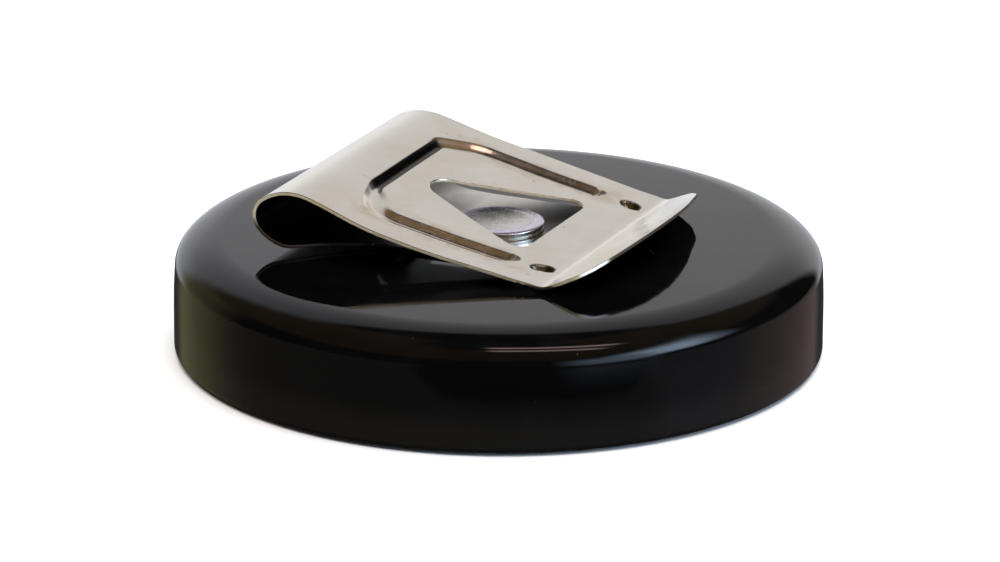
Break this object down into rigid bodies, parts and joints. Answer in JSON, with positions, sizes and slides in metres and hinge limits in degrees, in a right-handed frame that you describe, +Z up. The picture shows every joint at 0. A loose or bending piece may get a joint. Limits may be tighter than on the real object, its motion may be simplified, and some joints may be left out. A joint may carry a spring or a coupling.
{
  "type": "security tag detacher",
  "caption": "Round hand-held magnetic security tag detacher: gloss puck with a tag nest below and a riveted swivelling spring belt clip on top.",
  "frame": {"origin": "centre of the footprint, on the surface the puck rests on", "axes": "+Z up through the rivet, +X along the clip towards its lip, +Y to the left of the clip when looking towards the lip"},
  "size_m": [0.064, 0.064, 0.018],
  "materials": {
    "case_black": "high gloss",
    "cover_black": "fine satin texture",
    "rubber_grip": "matt",
    "liner_steel": "spun satin",
    "screw_zinc": "bright zinc",
    "soft_steel": "drawn",
    "magnet_nickel": "nickel plated",
    "spacer_brass": "turned",
    "carrier_plastic": "natural moulded",
    "foam_grey": "closed-cell foam",
    "bush_brass": "turned",
    "washer_zinc": "zinc passivated",
    "spring_steel": "tempered",
    "rivet_zinc": "zinc passivated, faintly iridescent",
    "fibre": "vulcanised fibre",
    "clip_nickel": "nickel plated, rolled"
  },
  "bodies": {
    "puck": {"top_shell": "case_black", "bottom_cover": "cover_black", "grip_ring": "rubber_grip", "tag_nest_liner": "liner_steel", "cover_screws": "screw_zinc", "flux_cup": "soft_steel", "ring_magnet": "magnet_nickel", "core_magnet": "magnet_nickel", "spacer_ring": "spacer_brass", "magnet_carrier": "carrier_plastic", "foam_pad": "foam_grey", "rivet_bush": "bush_brass", "backing_washer": "washer_zinc", "spring_washer": "spring_steel", "clip_rivet": "rivet_zinc", "rivet_washer": "washer_zinc", "friction_washer": "fibre"},
    "clip_base": {"clip_base_leaf": "clip_nickel"},
    "clip_arm": {"clip_spring_arm": "clip_nickel"}
  },
  "joints": [
    {"name": "clip_swivel", "type": "hinge", "parent": "puck", "child": "clip_base", "pos_m": [0, 0, 0.01192], "axis": [0, 0, 1], "continuous": true},
    {"name": "clip_flex", "type": "hinge", "parent": "clip_base", "child": "clip_arm", "pos_m": [-0.01952, 0, 0.01515], "axis": [0, -1, 0], "range_deg": [0, 10], "stiffness_Nm_per_rad": 2, "springref_deg": -5.73}
  ]
}
